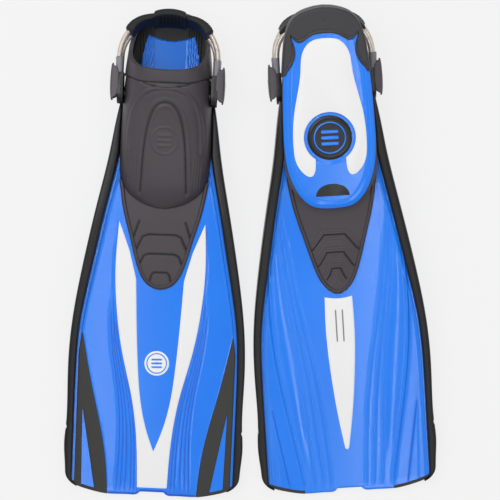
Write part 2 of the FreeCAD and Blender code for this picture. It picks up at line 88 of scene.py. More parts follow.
# Stage, in metres. VIEW_WIDTH is how much of the floor the frame shows from side to side.
CAMERA_HEIGHT = 2.35
VIEW_WIDTH = 0.5 / 0.789
SENSOR = 36.0
FLOOR_HALF = 6.0
FLOOR_GREY = 0.12
FLOOR_GLOW = 0.79
WORLD_LIGHT = 0.46
STRIP_WIDTH = 0.07
STRIP_LENGTH = 3.0
STRIP_HEIGHT = 1.9


# ------------------------------------------------------------------ placing pieces

def joint(name):
    return [j for j in frame["joints"] if j["name"] == name][0]


def fin_matrix(side):
    """Takes a point of a fin's own frame, in mm, to the row frame in metres."""
    swing = joint(side + "_strap_swing")
    x = Vector(swing["axis"])
    s = Vector(joint(side + "_strap_stretch")["axis"])
    c = x.cross(s)
    y = math.cos(RISE) * s - math.sin(RISE) * c
    z = math.sin(RISE) * s + math.cos(RISE) * c
    turn = Matrix((x, y, z)).transposed()
    origin = Vector(swing["pos_m"]) - turn @ Vector((0, POST_Y / 1000, POST_Z / 1000))
    m = np.eye(4)
    m[:3, :3] = np.array(turn) / 1000.0
    m[:3, 3] = origin
    return m


MATRIX = {side: fin_matrix(side) for side in ("left", "right")}


def turn_points(points, y0, z0, angle):
    p = np.array(points, float)
    y = p[..., 1] - y0
    z = p[..., 2] - z0
    p[..., 1] = y0 + y * math.cos(angle) - z * math.sin(angle)
    p[..., 2] = z0 + y * math.sin(angle) + z * math.cos(angle)
    return p


def raised(points):
    return turn_points(points, POST_Y, POST_Z, RISE)


def leaned(points):
    return raised(turn_points(points, HEEL - 22.0, POST_Z, LEAN))


class Shape:
    """Vertices and faces of one piece in the fin's own frame."""

    def __init__(self):
        self.verts = []
        self.faces = []
        self.marks = []

    def add(self, verts, faces, mark=0):
        base = len(self.verts)
        self.verts += [tuple(v) for v in verts]
        self.faces += [tuple(base + i for i in f) for f in faces]
        self.marks += [mark] * len(faces)
        return self

    def mapped(self, change):
        self.verts = [tuple(v) for v in change(np.array(self.verts))]
        return self

    def mirror(self):
        other = Shape()
        other.verts = [(-x, y, z) for x, y, z in self.verts]
        other.faces = [tuple(reversed(f)) for f in self.faces]
        other.marks = list(self.marks)
        return other

    def join(self, other):
        base = len(self.verts)
        self.verts += other.verts
        self.faces += [tuple(base + i for i in f) for f in other.faces]
        self.marks += other.marks
        return self


def build(name, shape, side, body, nodes, mats, sharp, merge=0.0005):
    """One Blender piece that rides on a body and stands for CAD nodes.

    sharp is the angle, in degrees, above which an edge stays sharp. merge is in mm.
    """
    pts = np.array(shape.verts, float)
    m = MATRIX[side]
    pts = pts @ m[:3, :3].T + m[:3, 3]
    mesh = bpy.data.meshes.new(name)
    mesh.from_pydata([tuple(p) for p in pts], [], shape.faces)
    mesh.validate()
    if len(mesh.polygons) == len(shape.marks):
        mesh.polygons.foreach_set("material_index", shape.marks)
    bm = bmesh.new()
    bm.from_mesh(mesh)
    if merge:
        bmesh.ops.remove_doubles(bm, verts=bm.verts, dist=merge / 1000)
    bmesh.ops.dissolve_degenerate(bm, edges=bm.edges, dist=1e-7)
    bmesh.ops.recalc_face_normals(bm, faces=bm.faces)
    bm.to_mesh(mesh)
    bm.free()
    for p in mesh.polygons:
        p.use_smooth = True
    mesh.set_sharp_from_angle(angle=math.radians(sharp))
    obj = bpy.data.objects.new(name, mesh)
    bpy.context.scene.collection.objects.link(obj)
    for mat in mats:
        mesh.materials.append(mat)
    if body:
        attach(obj, body)
    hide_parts(*nodes)
    return obj


# ------------------------------------------------------------------ curves and height fields

def smooth_line(points, count=160):
    """Natural cubic spline through points."""
    p = np.array(points, float)
    if len(p) < 3:
        t = np.linspace(0, 1, count)[:, None]
        return p[0] + (p[1] - p[0]) * t
    d = np.sqrt(((p[1:] - p[:-1]) ** 2).sum(1))
    s = np.concatenate([[0], np.cumsum(d)])
    n = len(p)
    a = np.zeros((n, n))
    r = np.zeros((n, p.shape[1]))
    a[0, 0] = a[-1, -1] = 1
    for i in range(1, n - 1):
        a[i, i - 1] = d[i - 1]
        a[i, i] = 2 * (d[i - 1] + d[i])
        a[i, i + 1] = d[i]
        r[i] = 6 * ((p[i + 1] - p[i]) / d[i] - (p[i] - p[i - 1]) / d[i - 1])
    k = np.linalg.solve(a, r)
    q = np.linspace(0, s[-1], count)
    i = np.clip(np.searchsorted(s, q, side="right") - 1, 0, n - 2)
    h = d[i][:, None]
    t0 = (q - s[i])[:, None]
    t1 = h - t0
    return (k[i] * t1 ** 3 / (6 * h) + k[i + 1] * t0 ** 3 / (6 * h)
            + (p[i] / h - k[i] * h / 6) * t1 + (p[i + 1] / h - k[i + 1] * h / 6) * t0)


def function_of(points, axis=1):
    """A smooth function through points: x of y for axis 1, y of x for axis 0."""
    line = smooth_line(points, 400)
    line = line[np.argsort(line[:, axis])]
    return lambda v: np.interp(v, line[:, axis], line[:, 1 - axis])


def mid_z(y):
    """Height of the blade's middle surface."""
    y = np.asarray(y, float)
    end = ROOT_Z - BEND_R * (1 - math.cos(DROP))
    bend = ROOT_Z - BEND_R + np.sqrt(np.maximum(BEND_R ** 2 - (BEND_0 - y) ** 2, 1.0))
    z = np.where(y > BEND_0, ROOT_Z, bend)
    return np.where(y < BEND_1, end - (BEND_1 - y) * math.tan(DROP), z)


def along(y, root, tip):
    """Value that runs from root at the bend to tip at the blade's end."""
    t = np.clip((BEND_1 - np.asarray(y, float)) / (BEND_1 + 30.0), 0, 1)
    return root + (tip - root) * t


def half_thick(y):
    """Half the blade's thickness."""
    return along(y, HALF_THICK_ROOT, HALF_THICK_TIP)


def ridge(d, width):
    """Soft bump of height 1 at d = 0."""
    return np.exp(-(d / width) ** 2)


def step(d, width):
    """Soft step from 0 to 1 across d = 0."""
    return 0.5 + 0.5 * np.tanh(d / width)


def to_chain(x, y, chain):
    """Distance from grid points to a polyline."""
    best = np.full(x.shape, 1e9)
    for (ax, ay), (bx, by) in zip(chain, chain[1:]):
        dx, dy = bx - ax, by - ay
        t = np.clip(((x - ax) * dx + (y - ay) * dy) / (dx * dx + dy * dy), 0, 1)
        best = np.minimum(best, np.hypot(x - ax - t * dx, y - ay - t * dy))
    return best


def near_toe(points):
    """Points whose second number counts from the toe end of the sole."""
    return [(x, TOE + y) for x, y in points]


def grid_faces(rows, cols, base=0, flip=False):
    out = []
    for i in range(rows - 1):
        for j in range(cols - 1):
            a = base + i * cols + j
            f = (a, a + 1, a + cols + 1, a + cols)
            out.append(tuple(reversed(f)) if flip else f)
    return out


def slab(x, y, top, low, marks=None, low_marks=None, wrap=False):
    """Closed solid between two height fields on one grid; wrap is for a polar grid."""
    rows, cols = x.shape
    shape = Shape()
    up = np.stack([x, y, top], -1).reshape(-1, 3)
    down = np.stack([x, y, low], -1).reshape(-1, 3)
    faces = grid_faces(rows, cols) + grid_faces(rows, cols, rows * cols, True)
    n = rows * cols
    last = (rows - 1) * cols
    ring = list(range(cols)) + [i * cols + cols - 1 for i in range(1, rows)]
    ring += [last + j for j in range(cols - 2, -1, -1)]
    ring += [i * cols for i in range(rows - 2, 0, -1)]
    walls = list(zip(ring, ring[1:] + ring[:1]))
    if wrap:
        walls = [(j, j + 1) for j in range(cols - 1)]
        walls += [(last + j + 1, last + j) for j in range(cols - 1)]
    for a, b in walls:
        faces.append((a, n + a, n + b, b))
    shape.add(np.concatenate([up, down]), faces)
    cells = (rows - 1) * (cols - 1)
    for first, given in ((0, marks), (cells, low_marks)):
        if given is not None:
            shape.marks[first:first + cells] = [int(c) for c in given[:-1, :-1].reshape(-1)]
    return shape


def loft(rings):
    """Capped skin over closed rings of points, each ring of the same length."""
    rings = np.array(rings, float)
    k, m, _ = rings.shape
    shape = Shape()
    faces = []
    for i in range(k - 1):
        for j in range(m):
            a = i * m + j
            b = i * m + (j + 1) % m
            faces.append((a, b, b + m, a + m))
    faces.append(tuple(reversed(range(m))))
    faces.append(tuple((k - 1) * m + j for j in range(m)))
    return shape.add(rings.reshape(-1, 3), faces)


# ------------------------------------------------------------------ materials

def principled(name, colour, rough, **sockets):
    mat = bpy.data.materials.new(name)
    mat.use_nodes = True
    node = mat.node_tree.nodes["Principled BSDF"]
    node.inputs["Base Color"].default_value = (*colour, 1)
    node.inputs["Roughness"].default_value = rough
    for key, value in sockets.items():
        node.inputs[key.replace("_", " ")].default_value = value
    return mat, node


def link_noise(mat, node, scale, colours, rough, bump, fine):
    """Colour mottle, roughness variation and bump from object-space noise."""
    tree = mat.node_tree
    new = tree.nodes.new
    coord = new("ShaderNodeTexCoord")
    noise = new("ShaderNodeTexNoise")
    noise.inputs["Scale"].default_value = scale
    noise.inputs["Detail"].default_value = 6
    noise.inputs["Roughness"].default_value = 0.6
    tree.links.new(coord.outputs["Object"], noise.inputs["Vector"])
    ramp = new("ShaderNodeValToRGB")
    ramp.color_ramp.elements[0].position = 0.3
    ramp.color_ramp.elements[1].position = 0.7
    ramp.color_ramp.elements[0].color = (*colours[0], 1)
    ramp.color_ramp.elements[1].color = (*colours[1], 1)
    tree.links.new(noise.outputs["Fac"], ramp.inputs["Fac"])
    tree.links.new(ramp.outputs["Color"], node.inputs["Base Color"])
    span = new("ShaderNodeMapRange")
    span.inputs["To Min"].default_value = rough[0]
    span.inputs["To Max"].default_value = rough[1]
    tree.links.new(noise.outputs["Fac"], span.inputs["Value"])
    tree.links.new(span.outputs["Result"], node.inputs["Roughness"])
    grain = new("ShaderNodeTexNoise")
    grain.inputs["Scale"].default_value = fine
    grain.inputs["Detail"].default_value = 4
    tree.links.new(coord.outputs["Object"], grain.inputs["Vector"])
    bumper = new("ShaderNodeBump")
    bumper.inputs["Strength"].default_value = bump
    bumper.inputs["Distance"].default_value = 0.0003
    tree.links.new(grain.outputs["Fac"], bumper.inputs["Height"])
    tree.links.new(bumper.outputs["Normal"], node.inputs["Normal"])
    return mat


def srgb(r, g, b):
    return tuple((c / 255 / 12.92) if c / 255 <= 0.04045 else ((c / 255 + 0.055) / 1.055) ** 2.4
                 for c in (r, g, b))


def tinted(name, rgb, rough, spread, bump, scale, fine, rough_span, **sockets):
    """Plastic or rubber: spread varies the colour and rough_span the roughness; scale and fine
    are the sizes of the mottle and of the grain."""
    base = srgb(*rgb)
    mat, node = principled(name, base, rough, **sockets)
    dark = tuple(c * (1 - spread) for c in base)
    light = tuple(min(c * (1 + spread), 1) for c in base)
    span = (rough - rough_span, rough + rough_span)
    return link_noise(mat, node, scale, (dark, light), span, bump, fine)


BLUE = tinted("blue_plastic", (26, 130, 255), 0.16, 0.05, 0.10, 9, 500, 0.04)
# Darker blue for painted shade in the blade's grooves, slits and creases.
BLUE_GROOVE_SHADE = tinted("blue_painted_groove_shade", (18, 96, 218), 0.30, 0.08, 0.10, 9, 500, 0.05)
WHITE = tinted("white_plastic", (243, 243, 243), 0.32, 0.015, 0.08, 9, 500, 0.05)
# Dark rubber of the pocket's inside and the sole plate's lining band; also painted shade in the flex
# panel's arch grooves.
LINING_AND_GROOVE_SHADE = tinted("pocket_lining_and_groove_shade", (26, 25, 28), 0.58, 0.12, 0.25, 20, 1200, 0.05)
STRAP_BLACK = tinted("strap_black", (30, 30, 32), 0.50, 0.15, 0.15, 18, 900, 0.06,
                     Specular_IOR_Level=0.3)
POCKET_RUBBER = tinted("pocket_rubber", (66, 61, 67), 0.50, 0.10, 0.30, 20, 1500, 0.06)
PANEL_RUBBER = tinted("panel_rubber", (60, 54, 60), 0.46, 0.10, 0.30, 20, 1500, 0.06)
RAIL_RUBBER = tinted("rail_rubber", (22, 21, 24), 0.34, 0.15, 0.20, 16, 1200, 0.07,
                     Specular_IOR_Level=0.35)
# Darker rubber for painted shade in the foot pocket's grooves.
GROOVE_SHADE_RUBBER = tinted("rubber_painted_groove_shade", (44, 40, 45), 0.55, 0.10, 0.30, 20, 1500, 0.05)
INSERT_RUBBER = tinted("insert_rubber", (42, 42, 40), 0.48, 0.10, 0.25, 20, 1400, 0.06)
CUP_RUBBER = tinted("cup_rubber", (50, 50, 54), 0.50, 0.10, 0.30, 20, 1500, 0.06)
# Black plastic of the buckle bodies, posts and toe grips; also the painted-shade tube inside the coils.
BLACK = tinted("black_plastic", (18, 18, 19), 0.30, 0.20, 0.12, 18, 900, 0.06)
# Grey plastic of the buckle hoods; also painted shade in the keel stripe's groove.
GREY = tinted("grey_plastic", (128, 126, 132), 0.34, 0.05, 0.15, 18, 900, 0.06)
BUTTON = tinted("button_plastic", (78, 72, 80), 0.42, 0.08, 0.25, 18, 1200, 0.06)
BADGE = tinted("badge_black", (20, 20, 22), 0.34, 0.15, 0.15, 18, 900, 0.06)
STEEL = tinted("spring_steel", (246, 238, 228), 0.30, 0.04, 0.10, 30, 2000, 0.06, Metallic=0.85)


# ------------------------------------------------------------------ plan outlines

b, f = HALF, REF
OUTER = function_of([(1.0 * b, -4), (1.0 * b, 0.033 * f), (1.014 * b, 0.095 * f),
                     (1.006 * b, 0.135 * f), (1.010 * b, 0.247 * f), (0.988 * b, 0.331 * f),
                     (0.902 * b, 0.440 * f), (0.733 * b, 0.596 * f),
                     (0.636 * b, 0.685 * f), (0.580 * b, 0.750 * f), (0.535 * b, RAIL_TOP)])
INNER = function_of([(0.480 * b, RAIL_TOP), (0.520 * b, 0.685 * f), (0.615 * b, 0.596 * f),
                     (0.789 * b, 0.440 * f), (0.893 * b, 0.331 * f), (0.918 * b, 0.247 * f),
                     (0.921 * b, 0.135 * f), (0.921 * b, 0.0)])
STRIPE_OUT = function_of([(0.171 * b, 0.008 * f), (0.199 * b, 0.104 * f), (0.282 * b, 0.2 * f),
                          (0.389 * b, 0.275 * f), (0.483 * b, 0.374 * f), (0.512 * b, 0.4585 * f),
                          (0.489 * b, 0.549 * f)])
CHANNEL_IN = function_of([(0.512 * b, 0.006 * f), (0.551 * b, 0.073 * f), (0.645 * b, 0.153 * f),
                          (0.705 * b, 0.195 * f), (0.795 * b, 0.267 * f), (0.86 * b, 0.325 * f)])
PANEL_SOLE = [(0.0, 0.398 * f), (0.13 * b, 0.410 * f), (0.235 * b, 0.442 * f), (0.345 * b, 0.505 * f),
              (0.444 * b, 0.5675 * f), (0.505 * b, 0.628 * f)]
PANEL = [(0.0, 0.413 * f), (0.153 * b, 0.4235 * f), (0.253 * b, 0.451 * f), (0.353 * b, 0.5105 * f),
         (0.444 * b, 0.5675 * f), (0.505 * b, 0.628 * f)]


def tip_y(u):
    """Where the blade ends, at a distance u from the middle."""
    u = np.abs(u)
    line = smooth_line([(0.15 * b, -2.0), (0.19 * b, -4.0), (0.24 * b, -4.2), (0.5 * b, -4.2),
                        (0.72 * b, 0.0), (0.89 * b, 6.0), (0.975 * b, 11.0)], 200)
    notch = -2.0 * step(u - 0.145 * b, 1.0)
    return np.where(u < 0.15 * b, notch, np.interp(u, line[:, 0], line[:, 1]))


POCKET_SIDE = smooth_line([(-0.4 * POCKET, TOE + 5.0), (0.0, TOE + 1.6), (0.4 * POCKET, TOE + 5.0),
                           (0.82 * POCKET, TOE + 22.0), (POCKET, TOE + 69.0),
                           (0.98 * POCKET, TOE + 127.0),
                           (0.945 * POCKET, TOE + 163.0), (0.885 * POCKET, TOE + 196.0),
                           (0.79 * POCKET, HEEL - 27.0), (0.60 * POCKET, HEEL - 10.0),
                           (0.33 * POCKET, HEEL - 2.8), (0.0, HEEL), (-0.33 * POCKET, HEEL - 2.8)], 900)
_side = POCKET_SIDE[(POCKET_SIDE[:, 0] >= 0)]
_toe = _side[_side[:, 1] < TOE + 69.0]


def pocket_toe_y(u):
    """Front edge of the foot pocket at a distance u from the middle."""
    return np.interp(np.abs(u), _toe[:, 0], _toe[:, 1])


def pocket_half(v):
    order = np.argsort(_side[:, 1])
    return np.interp(v, _side[order, 1], _side[order, 0])


# ------------------------------------------------------------------ blade

# Flow lines on the sole face: their distance from the middle at five places along the blade.
SOLE_LINES = [function_of(list(zip(row, (-6.0, 20.0, 163.0, 227.0, 350.0))))
              for row in ((22, 23, 38, 50, 66), (31, 33, 47, 57, 69),
                          (41, 44, 54, 63, 71), (54, 58, 82, 86, 79))]


def top_grooves(a, v):
    """Distances to the fine grooves beside the white stripe, and how far each one has faded."""
    far = np.where(v < 200, CHANNEL_IN(np.clip(v, 4, 200)), INNER(np.clip(v, 0, 420)) - 3.5)
    edge = STRIPE_OUT(np.clip(v, 5, 337))
    out = []
    for offset, end in ((4.5, 150.0), (9.0, 215.0), (16.0, 240.0), (22.0, 205.0), (27.5, 225.0)):
        d = a - edge - offset * (1 - 0.0032 * np.minimum(v, 250.0))
        out.append((d, step(v + 1.0, 2.0) * step(end - v, 16.0) * step(far - 3.0 - a, 0.8)))
    return out


def blade_relief(u, v, face):
    """Height that stands above the plain blade face; face is +1 for the top, -1 for the sole side."""
    a = np.abs(u)
    h = np.zeros(u.shape)
    fade_tip = step(v - 6.0, 3.0)
    if face > 0:
        edge = STRIPE_OUT(np.clip(v, 5, 337))
        h += 0.3 * ridge(a - edge - 2.6, 1.4) * step(300 - v, 25)
        for d, fade in top_grooves(a, v):
            h += (0.25 * ridge(d - 2.0, 1.1) - 0.5 * ridge(d, 0.95)) * fade
        h += 1.0 * ridge(a - INNER(np.clip(v, 0, 420)) + 4.5, 1.1) * step(v - 200, 10)
        bed = step(a - CHANNEL_IN(np.clip(v, 4, 200)) + 0.5, 0.5)
        h -= 0.5 * bed * step(203 - v, 2.0) * step(90 - a, 40)
    else:
        rail = INNER(np.clip(v, 0, 420))
        lines = [line(v) for line in SOLE_LINES]
        for c, size in zip(lines, (0.7, 0.8, 0.7, 1.2)):
            h += size * ridge(a - c, 1.05) * step(345 - v, 12)
            h += 0.45 * size * ridge(a - c + 3.0, 0.9) * step(300 - v, 20)
        third, fourth = lines[2:]
        crown = np.clip((a - third) / np.maximum(fourth - third, 1.0), 0, 1)
        h += 1.1 * np.sin(math.pi * crown) * step(v - 60, 25) * step(330 - v, 20)
        h -= 0.9 * step(a - fourth - 2.0, 1.5) * step(rail - 3 - a, 1.5) * step(330 - v, 20)
        left = np.interp(v, [0, 105], [74, 91.5])
        right = np.interp(v, [0, 105], [88, 92.0])
        h -= 0.9 * step(a - left, 0.8) * step(right - a, 0.8) * step(105 - v, 3)
        h += 0.8 * ridge(a - rail + 3.5, 1.3)
    return h * fade_tip


def blade_grid(cols, rows):
    limit = 0.921 * b + 1.2
    u = np.linspace(-limit, limit, cols)
    a = np.abs(u)
    low = tip_y(u)
    v_line = np.linspace(0, TOE + 69, 500)
    rail = INNER(v_line) + 1.2
    order = np.argsort(rail)
    rail_top = np.interp(a, rail[order], v_line[order])
    high = np.where(a < 0.985 * POCKET, np.minimum(pocket_toe_y(u) + 1.5, rail_top), rail_top)
    high = np.maximum(high, low + 1.0)
    t = np.linspace(0, 1, rows)[:, None]
    x = np.repeat(u[None, :], rows, 0)
    y = low[None, :] + (high - low)[None, :] * t
    return x, y


def make_blade(side):
    x, y = blade_grid(341, 361)
    m = mid_z(y)
    half = half_thick(y)
    edge = 1.0 * ridge(y - tip_y(x), 1.2)
    top = m + half + blade_relief(x, y, 1) - edge
    low = m - half - blade_relief(x, y, -1) + edge
    a = np.abs(x)
    # dark picks the top-face cells painted darker blue: painted shade in the crease along the white
    # stripe, on the rounded tip edge and in the fine grooves.
    dark = np.abs(a - STRIPE_OUT(np.clip(y, 5, 337)) - 0.4) < 0.55
    dark &= y < 330
    dark |= (y < tip_y(x) + 2.2) & (a < 0.5 * b)
    for d, fade in top_grooves(a, y):
        dark |= (np.abs(d) < 0.6) & (fade > 0.6)
    # Cells of the slit recess on the sole face, painted darker blue: painted shade.
    slit = np.interp(y, [0, 105], [74, 91.5])
    slit_shade = (np.abs(a - slit) < 0.7) & (y < 104)
    shape = slab(x, y, top, low, dark, slit_shade)
    return build(side + "_blade_skin", shape, side, side + "_fin", [side + "_blade"],
                 [BLUE, BLUE_GROOVE_SHADE], 50)


# ------------------------------------------------------------------ inlays on the blade

def band(left, right, v0, v1, rows, cols, lift, open_ends="", to_tip=False, edge=0.9):
    """Raised inlay on the top face between two lines u = left(v) and u = right(v)."""
    v = np.linspace(v0, v1, rows)[:, None] * np.ones((1, cols))
    s = np.linspace(0, 1, cols)[None, :] * np.ones((rows, 1))
    lo = left(v)
    hi = right(v)
    x = lo + (hi - lo) * s
    near = np.minimum(x - lo, hi - x)
    if "start" not in open_ends:
        near = np.minimum(near, v - v0)
    if "end" not in open_ends:
        near = np.minimum(near, v1 - v)
    if to_tip:
        first = tip_y(x) + 0.4
        v = first + (v - v0) * (v1 - first) / (v1 - v0)
    rise = lift * (1 - np.exp(-np.maximum(near, 0) / edge))
    half = half_thick(v)
    return slab(x, v, mid_z(v) + half + rise, mid_z(v) + half - 1.0)


def disc(cx, cy, radius, lift):
    """Raised round label on the top face with a generic ring and three level bars."""
    r = np.linspace(0.02, radius, 44)[:, None]
    a = np.linspace(0, 2 * math.pi, 96)[None, :]
    x = cx + r * np.cos(a)
    y = cy + r * np.sin(a)
    bars = emblem(x, y, cx, cy, radius * 0.78)
    face = mid_z(y) + half_thick(y)
    rise = lift * (1 - np.exp(-(radius - r) / 0.5)) + 0.15 * bars
    return slab(x, y, face + rise, face - 1.0, bars > 0.55, None, True)


def make_stripe(side):
    wedge_v = [0.083 * f, 0.12 * f, 0.166 * f, 0.258 * f, 0.366 * f, 0.4325 * f, 0.49 * f, 0.549 * f]
    wedge_u = [0.0, 0.079 * b, 0.149 * b, 0.216 * b, 0.255 * b, 0.273 * b, 0.36 * b, 0.489 * b]
    inner = smooth_line(list(zip(wedge_u[:6], wedge_v[:6])), 200)

    def wedge(v):
        low = np.interp(v, inner[:, 1], inner[:, 0])
        high = np.interp(v, wedge_v[5:], wedge_u[5:])
        return np.where(v < wedge_v[5], low, high)

    start = 0.083 * f
    foot = band(lambda v: -STRIPE_OUT(v), STRIPE_OUT, 0.0085 * f, start, 40, 60, 0.55, "end")
    arm = band(lambda v: np.maximum(wedge(v), 0.01), STRIPE_OUT, start, 0.5485 * f, 220, 24, 0.55,
               "start")
    shape = foot.join(arm).join(arm.mirror()).join(disc(0.0, 162.0, 15.5, 0.5))
    return build(side + "_stripe_skin", shape, side, side + "_fin", [side + "_top_stripe"],
                 [WHITE, BLUE], 50, merge=0)


def make_keel(side):
    half = function_of([(0.023 * b, 0.083 * f), (0.09 * b, 0.16 * f), (0.136 * b, 0.237 * f),
                        (0.163 * b, 0.325 * f), (0.155 * b, 0.395 * f)])

    def edge(v):
        tip = np.sqrt(np.clip((v - 0.0795 * f) / (0.0035 * f), 0.02, 1))
        return half(np.clip(v, 0.083 * f, 0.395 * f)) * tip

    rows, cols = 240, 64
    t = np.linspace(0, 1, rows)[:, None] ** 1.15
    s = np.linspace(-1, 1, cols)[None, :]
    top = 0.388 * f + 2.5 * s ** 2
    v = 0.0796 * f + (top - 0.0796 * f) * t
    x = edge(v) * s
    rim = edge(v) - np.abs(x)
    rise = 0.6 * (1 - np.exp(-rim / 0.9)) * (1 - np.exp(-(top - v) / 1.2))
    groove = ridge(np.abs(x) - 4.2, 0.7) * step(v - 184, 1) * step(224 - v, 1)
    h = half_thick(v)
    # Cells in the groove on the keel's face get the grey material: painted shade in the groove.
    shape = slab(x, v, mid_z(v) - h + 1.0, mid_z(v) - h - rise + 0.5 * groove, None, groove > 0.35)
    return build(side + "_keel_skin", shape, side, side + "_fin", [side + "_keel_stripe"],
                 [WHITE, GREY], 50, merge=0)


def make_channel(side):
    """Black insert: a leg on each side of a blue window, and an edge along the blade tip."""
    out = 0.895 * b
    tip_v = 0.164 * f

    def outer(v):
        return np.interp(v, [0, 175, 0.325 * f], [out, out, 0.862 * b])

    def window_in(v):
        return np.interp(v, [2.0, tip_v], [0.66 * b, 0.826 * b])

    def window_out(v):
        return np.interp(v, [2.0, tip_v], [0.812 * b, 0.828 * b])

    top = band(CHANNEL_IN, outer, tip_v, 0.324 * f, 90, 30, 0.5, "start")
    inner_leg = band(CHANNEL_IN, window_in, 0.0, tip_v, 80, 24, 0.5, "start end", True)
    outer_leg = band(window_out, outer, 0.0, tip_v, 80, 14, 0.5, "start end", True)
    u = np.linspace(0.512 * b, 0.93 * b, 120)[None, :] * np.ones((14, 1))
    t = np.linspace(0, 1, 14)[:, None] * np.ones((1, 120))
    y = tip_y(u) - 0.25 + 4.2 * t
    round_off = 1.2 * np.exp(-4.2 * t / 0.8)
    half = half_thick(y) + 0.4 - round_off
    lip = slab(u, y, mid_z(y) + half, mid_z(y) - half)
    shape = top.join(inner_leg).join(outer_leg).join(lip)
    for hand, s in (("r", shape), ("l", shape.mirror())):
        build(side + "_channel_skin_" + hand, s, side, side + "_fin", [side + "_tip_channel_" + hand],
              [INSERT_RUBBER], 50, merge=0)


def make_rail(side):
    """Rubber edge rail: rounded section that tapers towards the tip."""
    v = np.concatenate([np.linspace(4, 30, 26), np.linspace(32, 110, 60),
                        np.linspace(112, RAIL_TOP, 150)])
    ring_n = 28
    angle = np.linspace(0, 2 * math.pi, ring_n, endpoint=False)
    c = np.sign(np.cos(angle)) * np.abs(np.cos(angle)) ** 0.45
    s = np.sign(np.sin(angle)) * np.abs(np.sin(angle)) ** 0.45
    rings = []
    for y in v:
        outer = float(OUTER(y)) + 1.0 * float(ridge(y - 58, 22)) - 1.3 * float(ridge(y - 78, 2.0))
        inner = float(INNER(y))
        if y > 380:
            inner = max(inner, float(pocket_half(y)) - 0.6)
        corner = max(0.0, 1 - (y - 4) / 20.0)
        outer -= 14.0 * corner ** 2.6
        inner = min(inner, outer - 1.2)
        height = float(along(y, RAIL_HALF_ROOT, RAIL_HALF_TIP)) * (1 - 0.25 * corner ** 3)
        end = min(1.0, (RAIL_TOP + 0.5 - y) / 30.0)
        height *= 0.55 + 0.45 * math.sqrt(max(end, 0.0))
        mid_x = (outer + inner) / 2
        wide = (outer - inner) / 2
        z0 = float(mid_z(y))
        groove = 1 - 0.10 * np.exp(-((np.abs(s) - 0.0) / 0.18) ** 2) * (c > 0)
        ring = np.stack([mid_x + wide * c * groove, np.full(ring_n, y), z0 + height * s], -1)
        rings.append(ring)
    shape = loft(rings)
    for hand, sh in (("r", shape), ("l", shape.mirror())):
        build(side + "_rail_skin_" + hand, sh, side, side + "_fin", [side + "_rail_" + hand],
              [RAIL_RUBBER], 60, merge=0)


def panel_grid(outline):
    """Grid over the flex panel, with each point's distance from the panel's edge."""
    lower = smooth_line([(-x, y) for x, y in reversed(outline[1:])] + outline, 500)
    lower = lower[lower[:, 0] >= 0]
    lower = lower[np.argsort(lower[:, 0])]
    cols, rows = 201, 221
    limit = 0.504 * b
    u = np.linspace(-limit, limit, cols)
    lo = np.interp(np.abs(u), lower[:, 0], lower[:, 1])
    hi = np.maximum(pocket_toe_y(u) + 1.5, lo + 0.5)
    t = np.linspace(0, 1, rows)[:, None]
    x = np.repeat(u[None, :], rows, 0)
    y = lo[None, :] + (hi - lo)[None, :] * t
    edge = to_chain(np.abs(x), y, [tuple(p) for p in lower[::12]] + [tuple(lower[-1])])
    return x, y, edge


def make_panel(side):
    """Flex panel with a raised rim and stepped arches on both faces."""
    x, y, edge = panel_grid(PANEL)
    half = half_thick(y)
    border = 1.5 * step(4.4 - edge, 0.35) * (1 - np.exp(-edge / 0.8))
    outer = 0.7 + 1.3 * (1 - np.exp(-edge / 0.8))
    top_arches = [near_toe(p) for p in (
        ((-44, -40), (-37, -39), (-29, -15)),
        ((-40, -52), (-32, -51), (-24, -34), (-17, -31), (17, -31), (24, -34), (32, -51), (40, -52)),
        ((-33, -76), (-29, -73), (-22, -58), (-16, -55), (16, -55), (22, -58), (29, -73), (33, -76)),
        ((-15, -96), (-11, -81), (-8, -78), (8, -78), (11, -81), (15, -96)))]
    top_arches.append([(-x0, y0) for x0, y0 in top_arches[0]])
    cut = np.zeros(x.shape)
    for chain in top_arches:
        cut = np.maximum(cut, ridge(to_chain(x, y, chain), 1.25))
    inside = step(edge - 5.0, 0.4)
    level = np.zeros(x.shape)
    for arch in top_arches[1:4]:
        line = np.array(arch)
        level += 0.5 * step(np.interp(x, line[:, 0], line[:, 1]) - y, 0.8)
    top = mid_z(y) + half + outer + border + inside * (-1.1 * cut + 0.5 * level - 0.4)
    # Cells in the top arch grooves take the dark lining material: painted shade in the grooves.
    shape = slab(x, y, top, mid_z(y) - 0.2, cut * inside > 0.45)
    x, y, edge = panel_grid(PANEL_SOLE)
    half = half_thick(y)
    border = 1.5 * step(4.4 - edge, 0.35) * (1 - np.exp(-edge / 0.8))
    outer = 0.7 + 1.3 * (1 - np.exp(-edge / 0.8))
    inside = step(edge - 5.0, 0.4)
    under_arches = [near_toe(p) for p in (
        ((-33, -56), (-27, -52), (-13, -35), (13, -35), (27, -52), (33, -56)),
        ((-25, -76), (-20, -72), (-10, -57), (10, -57), (20, -72), (25, -76)),
        ((-12, -90), (-9, -86), (-5, -77), (5, -77), (9, -86), (12, -90)))]
    cut2 = np.zeros(x.shape)
    for chain in under_arches:
        d = to_chain(x, y, chain)
        cut2 = np.maximum(cut2, ridge(d, 1.2))
        for off in (3.6, 6.6):
            cut2 = np.maximum(cut2, 0.35 * ridge(d - off, 0.7))
    low = mid_z(y) - half - outer - border + inside * (1.15 * cut2 + 0.4)
    # Cells in the sole-side arch grooves take the dark lining material: painted shade in the grooves.
    shape.join(slab(x, y, mid_z(y) + 0.2, low, None, cut2 * inside > 0.45))
    build(side + "_panel_skin", shape, side, side + "_fin", [side + "_flex_panel"],
          [PANEL_RUBBER, LINING_AND_GROOVE_SHADE], 50, merge=0)


# ------------------------------------------------------------------ foot pocket

